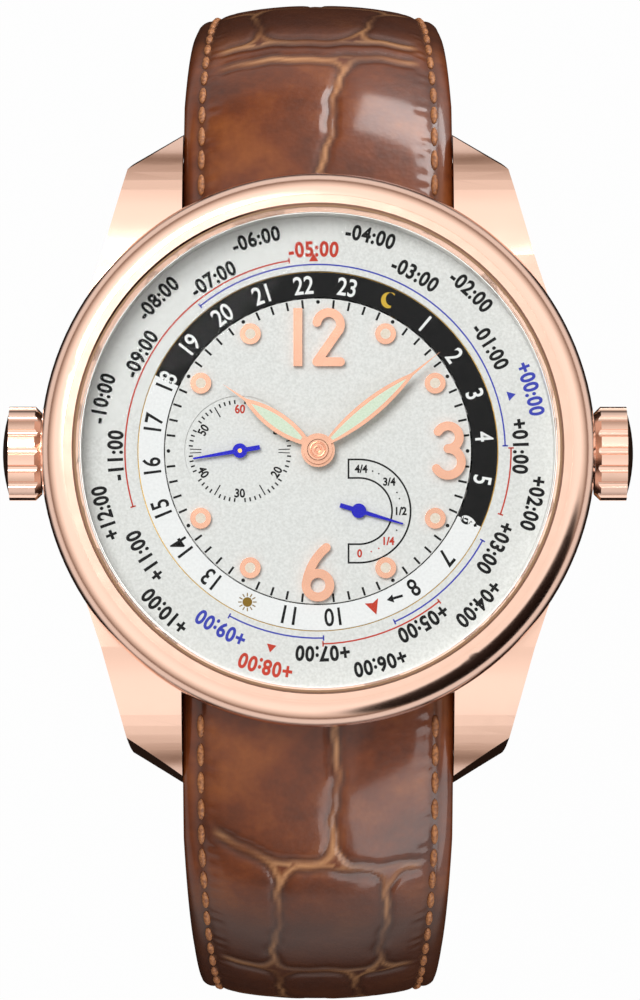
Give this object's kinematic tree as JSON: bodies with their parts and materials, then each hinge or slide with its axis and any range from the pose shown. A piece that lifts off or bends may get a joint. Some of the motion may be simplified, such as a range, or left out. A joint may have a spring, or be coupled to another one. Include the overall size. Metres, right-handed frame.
{
  "type": "world time wristwatch",
  "caption": "Round world time wristwatch with fluted crowns, turning city and 24 hour rings, small seconds, power reserve and buckled leather strap.",
  "frame": {"origin": "on the floor under the hand axis, where the closed strap stands on its fixed keeper", "axes": "+Z out of the dial, +Y towards 12 o'clock, +X towards 3 o'clock and the winding crown"},
  "size_m": [0.047, 0.0773, 0.0579],
  "materials": {
    "rose_gold": "polished",
    "steel": "polished",
    "plated_brass": "polished",
    "rhodium_plate": "brushed",
    "blued_steel": "polished",
    "crystal_glass": "clear",
    "white_dial": "satin",
    "black_ring": "satin",
    "lume": "matte",
    "gasket_rubber": "matte",
    "ruby": "polished",
    "alligator_leather": "glossy"
  },
  "bodies": {
    "head": {"case_middle": "rose_gold", "bezel": "rose_gold", "crystal": "crystal_glass", "crystal_gasket": "gasket_rubber", "case_back_ring": "rose_gold", "case_back_glass": "crystal_glass", "case_back_gasket": "gasket_rubber", "case_back_screws": "steel", "winding_crown_tube": "steel", "city_crown_tube": "steel", "movement_holder": "steel", "main_plate": "rhodium_plate", "barrel_bridge": "rhodium_plate", "train_bridge": "rhodium_plate", "balance_cock": "rhodium_plate", "jewels": "ruby", "bridge_screws": "steel", "rotor_bearing": "steel", "ring_seat": "plated_brass", "dial": "white_dial", "hour_dots": "rose_gold", "dot_lume": "lume", "applied_numerals": "rose_gold", "strap_upper": "alligator_leather", "strap_lower": "alligator_leather", "spring_bar_upper": "steel", "spring_bar_lower": "steel", "fixed_keeper": "alligator_leather", "buckle_bar": "steel"},
    "minute_body": {"cannon_pinion": "steel", "minute_hand": "rose_gold", "minute_hand_lume": "lume"},
    "hour_body": {"hour_wheel": "plated_brass", "hour_hand": "rose_gold", "hour_hand_lume": "lume"},
    "minute_wheel_body": {"minute_wheel": "plated_brass"},
    "ring_wheel_body": {"ring_wheel": "plated_brass"},
    "day_ring_body": {"day_ring": "black_ring"},
    "seconds_body": {"fourth_wheel": "plated_brass", "seconds_hand": "blued_steel"},
    "third_body": {"third_wheel": "plated_brass"},
    "centre_body": {"centre_wheel": "plated_brass"},
    "barrel_body": {"barrel": "plated_brass"},
    "ratchet_body": {"ratchet_wheel": "steel"},
    "escape_body": {"escape_wheel": "steel"},
    "pallet_body": {"pallet_lever": "steel"},
    "balance_body": {"balance_wheel": "plated_brass"},
    "reserve_body": {"reserve_hand": "blued_steel"},
    "city_ring_body": {"city_ring": "white_dial"},
    "city_crown_body": {"city_crown": "rose_gold", "city_stem": "steel"},
    "setting_body": {"setting_lever": "steel"},
    "winding_crown_body": {"winding_crown": "rose_gold", "winding_stem": "steel", "sliding_pinion": "steel"},
    "rotor_body": {"rotor": "rose_gold"},
    "buckle_body": {"buckle_frame": "rose_gold"},
    "tongue_body": {"buckle_tongue": "rose_gold"},
    "free_keeper_body": {"free_keeper": "alligator_leather"}
  },
  "joints": [
    {"name": "minute_hand_turn", "type": "hinge", "parent": "head", "child": "minute_body", "pos_m": [0, 0, 0.0544], "axis": [0, 0, 1], "continuous": true},
    {"name": "hour_hand_turn", "type": "hinge", "parent": "head", "child": "hour_body", "pos_m": [0, 0, 0.054], "axis": [0, 0, 1], "continuous": true},
    {"name": "minute_wheel_turn", "type": "hinge", "parent": "head", "child": "minute_wheel_body", "pos_m": [-0.00206, -0.00245, 0.0516], "axis": [0, 0, 1], "continuous": true},
    {"name": "ring_wheel_turn", "type": "hinge", "parent": "head", "child": "ring_wheel_body", "pos_m": [0.0036, 0.00624, 0.0516], "axis": [0, 0, 1], "continuous": true},
    {"name": "day_ring_turn", "type": "hinge", "parent": "head", "child": "day_ring_body", "pos_m": [0, 0, 0.0528], "axis": [0, 0, 1], "continuous": true},
    {"name": "seconds_hand_turn", "type": "hinge", "parent": "head", "child": "seconds_body", "pos_m": [-0.00577, 0, 0.05345], "axis": [0, 0, 1], "continuous": true},
    {"name": "third_wheel_turn", "type": "hinge", "parent": "head", "child": "third_body", "pos_m": [-0.00307, -0.00329, 0.04955], "axis": [0, 0, 1], "continuous": true},
    {"name": "centre_wheel_turn", "type": "hinge", "parent": "head", "child": "centre_body", "pos_m": [0, 0, 0.0492], "axis": [0, 0, 1], "continuous": true},
    {"name": "barrel_turn", "type": "hinge", "parent": "head", "child": "barrel_body", "pos_m": [0.00495, 0.0059, 0.04955], "axis": [0, 0, 1], "continuous": true},
    {"name": "ratchet_wheel_turn", "type": "hinge", "parent": "head", "child": "ratchet_body", "pos_m": [0.00495, 0.0059, 0.0481], "axis": [0, 0, 1], "continuous": true},
    {"name": "escape_wheel_turn", "type": "hinge", "parent": "head", "child": "escape_body", "pos_m": [-0.00679, 0.00383, 0.04955], "axis": [0, 0, 1], "continuous": true},
    {"name": "pallet_lever_rock", "type": "hinge", "parent": "head", "child": "pallet_body", "pos_m": [-0.00625, 0.00627, 0.04955], "axis": [0, 0, 1], "range_deg": [-3, 3]},
    {"name": "balance_swing", "type": "hinge", "parent": "head", "child": "balance_body", "pos_m": [-0.0056, 0.0092, 0.0492], "axis": [0, 0, 1], "range_deg": [-150, 150], "stiffness_Nm_per_rad": 0.00000005},
    {"name": "reserve_hand_turn", "type": "hinge", "parent": "head", "child": "reserve_body", "pos_m": [0.00302, -0.00445, 0.05345], "axis": [0, 0, 1], "range_deg": [-73.5, 106.5]},
    {"name": "city_ring_turn", "type": "hinge", "parent": "head", "child": "city_ring_body", "pos_m": [0, 0, 0.0528], "axis": [0, 0, 1], "continuous": true},
    {"name": "city_crown_turn", "type": "hinge", "parent": "head", "child": "city_crown_body", "pos_m": [-0.022, 0, 0.0504], "axis": [-1, 0, 0], "continuous": true},
    {"name": "winding_stem_pull", "type": "slide", "parent": "head", "child": "setting_body", "axis": [1, 0, 0], "range_m": [0, 0.0015]},
    {"name": "winding_crown_turn", "type": "hinge", "parent": "setting_body", "child": "winding_crown_body", "pos_m": [0.022, 0, 0.0504], "axis": [1, 0, 0], "continuous": true},
    {"name": "rotor_turn", "type": "hinge", "parent": "head", "child": "rotor_body", "pos_m": [0, 0, 0.0472], "axis": [0, 0, 1], "continuous": true},
    {"name": "buckle_frame_swing", "type": "hinge", "parent": "head", "child": "buckle_body", "pos_m": [0, -0.0086, 0.0051], "axis": [1, 0, 0], "range_deg": [0, 3]},
    {"name": "buckle_tongue_swing", "type": "hinge", "parent": "buckle_body", "child": "tongue_body", "pos_m": [0, -0.0086, 0.0051], "axis": [1, 0, 0], "range_deg": [0, 3]},
    {"name": "free_keeper_slide", "type": "slide", "parent": "head", "child": "free_keeper_body", "axis": [0, 1, 0], "range_m": [-0.003, 0.001]}
  ],
  "couplings": [
    {"joint": "hour_hand_turn", "follows": "minute_hand_turn", "ratio": 0.083333},
    {"joint": "minute_wheel_turn", "follows": "minute_hand_turn", "ratio": -0.33333},
    {"joint": "ring_wheel_turn", "follows": "minute_hand_turn", "ratio": -0.11667},
    {"joint": "day_ring_turn", "follows": "minute_hand_turn", "ratio": -0.041667},
    {"joint": "third_wheel_turn", "follows": "seconds_hand_turn", "ratio": -0.13333},
    {"joint": "centre_wheel_turn", "follows": "seconds_hand_turn", "ratio": 0.016667},
    {"joint": "barrel_turn", "follows": "seconds_hand_turn", "ratio": -0.0027778},
    {"joint": "escape_wheel_turn", "follows": "seconds_hand_turn", "ratio": -10},
    {"joint": "city_ring_turn", "follows": "city_crown_turn", "ratio": -0.125},
    {"joint": "ratchet_wheel_turn", "follows": "winding_crown_turn", "ratio": -0.3}
  ]
}
